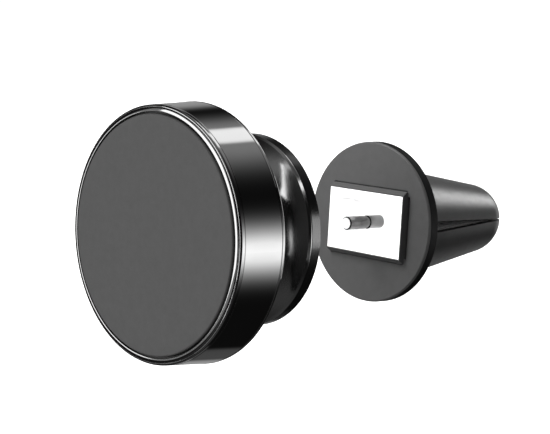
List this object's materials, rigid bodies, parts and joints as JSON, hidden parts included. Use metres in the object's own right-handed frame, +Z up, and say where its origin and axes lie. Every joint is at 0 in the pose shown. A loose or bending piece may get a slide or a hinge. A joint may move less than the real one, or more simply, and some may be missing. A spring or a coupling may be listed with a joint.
{
  "type": "car phone mount",
  "caption": "Magnetic air-vent phone mount: round head on a ball-jointed trumpet base that plugs onto a pinned two-jaw louvre clip.",
  "frame": {"origin": "centre of the floor of the louvre slot in the vent clip, where the edge of a vent blade comes to rest", "axes": "+Y along the mount's axis from the phone pad to the tip of the clip, +Z up, +X to the right seen from the pad"},
  "size_m": [0.041, 0.0817, 0.041],
  "materials": {
    "pad_rubber": "matte",
    "black_chrome": "mirror",
    "black_plastic": "matte",
    "gloss_black": "gloss",
    "satin_plastic": "satin",
    "clip_rubber": "satin",
    "white_nylon": "satin",
    "seat_nylon": "satin",
    "steel": "machined",
    "plated_magnet": "bright"
  },
  "bodies": {
    "vent_clip": {"clip_disc": "satin_plastic", "disc_ring": "clip_rubber", "socket_liner": "white_nylon", "steel_pin": "steel", "clip_core": "black_plastic", "clip_screws": "steel"},
    "upper_jaw": {"upper_prong": "black_plastic", "upper_sleeve": "clip_rubber", "upper_grip": "clip_rubber", "upper_spring": "steel"},
    "lower_jaw": {"lower_prong": "black_plastic", "lower_sleeve": "clip_rubber", "lower_grip": "clip_rubber", "lower_spring": "steel"},
    "base": {"neck_shell": "black_chrome", "nose_ring": "black_plastic", "pressure_ring": "steel", "seat_spring": "steel", "socket_block": "black_plastic", "pin_catch": "steel", "base_cover": "gloss_black", "base_screws": "steel"},
    "ball_seat": {"seat_front": "seat_nylon", "seat_rear": "seat_nylon"},
    "stud": {"ball_stud": "steel", "stud_washer": "seat_nylon", "stud_nut": "steel"},
    "head": {"face_pad": "pad_rubber", "bead_ring": "black_chrome", "head_shell": "black_chrome", "magnet_carrier": "black_plastic", "magnets": "plated_magnet", "keeper_plate": "steel", "head_back": "black_plastic", "head_screws": "steel"}
  },
  "joints": [
    {"name": "plug_in", "type": "slide", "parent": "vent_clip", "child": "base", "axis": [0, 1, 0], "range_m": [0, 0.027]},
    {"name": "head_pan", "type": "hinge", "parent": "base", "child": "ball_seat", "pos_m": [0, -0.046, 0], "axis": [0, 0, 1], "range_deg": [-15, 15]},
    {"name": "head_tilt", "type": "hinge", "parent": "ball_seat", "child": "stud", "pos_m": [0, -0.046, 0], "axis": [1, 0, 0], "range_deg": [-15, 15]},
    {"name": "head_turn", "type": "hinge", "parent": "stud", "child": "head", "pos_m": [0, -0.046, 0], "axis": [0, 1, 0], "continuous": true},
    {"name": "upper_jaw_flex", "type": "hinge", "parent": "vent_clip", "child": "upper_jaw", "pos_m": [0, -0.0033, 0.0097], "axis": [1, 0, 0], "range_deg": [0, 6], "stiffness_Nm_per_rad": 1, "springref_deg": -2.86},
    {"name": "lower_jaw_flex", "type": "hinge", "parent": "vent_clip", "child": "lower_jaw", "pos_m": [0, -0.0033, -0.0104], "axis": [-1, 0, 0], "range_deg": [0, 6], "stiffness_Nm_per_rad": 1, "springref_deg": -2.86}
  ]
}
